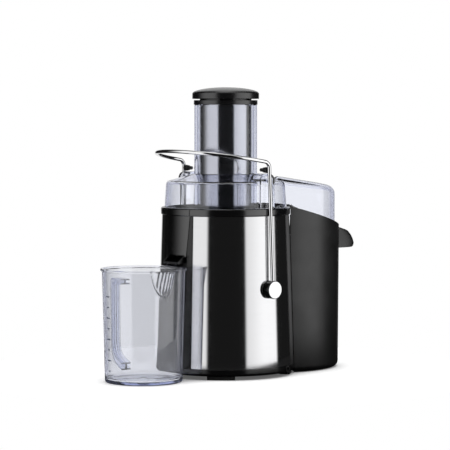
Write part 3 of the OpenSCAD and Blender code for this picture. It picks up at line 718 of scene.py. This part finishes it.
def below_rim():
    """What is cut away under the hood, to follow the bin's sloping rim a little below it."""
    start, end, dip = 82, 210, 4
    outline = [(start, 218), (start, bin_rim(start) - dip), (end, bin_rim(end) - dip)]
    outline += [(end, 150), (HOOD_START, 150), (HOOD_START, 218)]
    return prism("below_rim", outline, 100)


def make_lid():
    """The round part, hood and lugs, hollowed together, with the feed tube through them."""
    hood = cut(hood_over_bin("hood"), below_rim(), "DIFFERENCE")
    solid = cut(round_solid("lid_clear", 0), hood, "UNION")
    for side in (-1, 1):
        solid = cut(solid, lug_solid("lug", side, 0), "UNION")
    solid = cut(solid, round_solid("round_inside", LID_WALL), "DIFFERENCE")
    solid = cut(solid, hood_solid("hood_inside", LID_WALL), "DIFFERENCE")
    for side in (-1, 1):
        solid = cut(solid, lug_solid("lug_inside", side, LID_WALL), "DIFFERENCE")
    solid = cut(solid, drum("tube_hole", TUBE_R - 0.75, 240, 290), "DIFFERENCE")
    lip = 0.6
    outline = [(TUBE_BORE_R, 200), (TUBE_R, 200), (TUBE_R, TUBE_TOP - lip), (TUBE_R - 0.45, TUBE_TOP)]
    outline += [(TUBE_BORE_R + 0.4, TUBE_TOP), (TUBE_BORE_R, TUBE_TOP - lip)]
    points, faces = turned(outline)
    solid = cut(solid, mesh_of("feed_tube", points, faces), "UNION")
    add_piece(solid, "clear_lid", "base_unit", ["lid"], sharp=30)


# The pulp bin: a deep oval tub, hollowed to clear the base, with a hooked grip.
BIN_X, BIN_LONG, BIN_HALF = 98.0, 88.0, 71.5
BIN_WALL = 2.4
BIN_GAP = 0.35
GRIP_X, GRIP_FOOT, GRIP_HALF, GRIP_WALL = 176.0, 160.5, 26.0, 2.6


def bin_outline(inset, z):
    """The bin's plan at a height: most of an oval, which tapers slightly towards the floor."""
    shrink = inset + 1.3 * (1 - min(z, 220) / 220)
    turns = [math.radians(-118 + 236 * step / 120) for step in range(121)]
    long, half = BIN_LONG - shrink, BIN_HALF - shrink
    return [(BIN_X + long * math.cos(turn), half * math.sin(turn)) for turn in turns]


def bin_solid(name, inset):
    """The bin as a solid with a rounded foot. Inset 0 is its outside."""
    floor = 3.0 if inset else 0.0
    corner = 8.0 - inset
    rings = []
    for out, up in arc(0, 0, corner, -90, 0, 6):
        z = floor + corner + up
        rings.append([(x, y, z) for x, y in bin_outline(inset + corner - out, z)])
    for z in (60, 120, 180, 240):
        rings.append([(x, y, z) for x, y in bin_outline(inset, z)])
    points, faces = stack(rings)
    return mesh_of(name, points, faces)


def base_cone(name, gap):
    """The room that the bin leaves for the base."""
    points, faces = stack([[(x, y, z) for x, y in circle(body_radius(z) + gap, 180)] for z in (-1.0, 260.0)])
    return mesh_of(name, points, faces)


def grip_solid(name, inset, foot):
    """The hooked grip: a rounded tongue with a full end, which curves down from the rim. Foot
    moves its underside, so that the inside can be cut out through it."""
    reach, height, tip = 46.4, 34, 5
    crown = [(GRIP_X + reach * out, GRIP_FOOT + height * up) for out, up in arc(0, 0, 1, 90, 9, 20)]
    profile = crown + arc(216.4, GRIP_FOOT + tip, tip, 0, -90, 6) + [(GRIP_X, GRIP_FOOT)]
    rings = []
    for step in range(49):
        share = math.sin(math.radians(-89 + 178 * step / 48))
        full = (1 - abs(share) ** 5) ** (1 / 5)
        low = 1 - 0.12 * abs(share) ** 4
        ring = []
        for x, z in profile:
            out = GRIP_X + (x - GRIP_X) * full * (1 - inset / 46.6)
            up = GRIP_FOOT + (z - GRIP_FOOT) * low * (1 - inset / 30.5)
            ring.append((out, (GRIP_HALF - inset) * share, up if z > GRIP_FOOT + 6 else up + foot))
        rings.append(ring)
    points, faces = stack(rings)
    return mesh_of(name, points, faces)


def make_bin():
    """The tub, hollowed and joined to its grip, with its sloping rim and its mouth cut last."""
    inner_cone = base_cone("inner_cone", BIN_GAP + BIN_WALL)
    inside = cut(bin_solid("tub_inside", BIN_WALL), inner_cone, "DIFFERENCE")
    tub = cut(bin_solid("pulp_tub", 0), base_cone("cone", BIN_GAP), "DIFFERENCE")
    tub = cut(tub, drum("ring_room", 86.6, 211.6, 260), "DIFFERENCE")
    shell = cut(grip_solid("grip", 0, 0), grip_solid("grip_inside", GRIP_WALL, -6), "DIFFERENCE")
    shell = cut(shell, bin_solid("tub_core", 1.2), "DIFFERENCE")
    tub = cut(cut(tub, inside, "DIFFERENCE"), shell, "UNION")
    above = [(0, bin_rim(0)), (250, bin_rim(250)), (250, 300), (0, 300)]
    tub = cut(tub, prism("above_rim", above, 150), "DIFFERENCE")
    mouth_end, mouth_foot, mouth_half = 108, 184, 63.4
    mouth = [(30, mouth_foot), (mouth_end, mouth_foot), (mouth_end, 260), (30, 260)]
    tub = cut(tub, prism("mouth", mouth, mouth_half), "DIFFERENCE")
    add_piece(tub, "black_bin", "bin", ["pulp_bin"], sharp=30)


make_camera()
make_world()
make_floor()
bpy.context.scene.view_settings.view_transform = "Standard"
MATERIALS = make_materials()
dress_nodes(MATERIALS)
make_bail()
make_wrap_panel()
make_jug()
make_jug_marks()
make_lid()
make_bin()
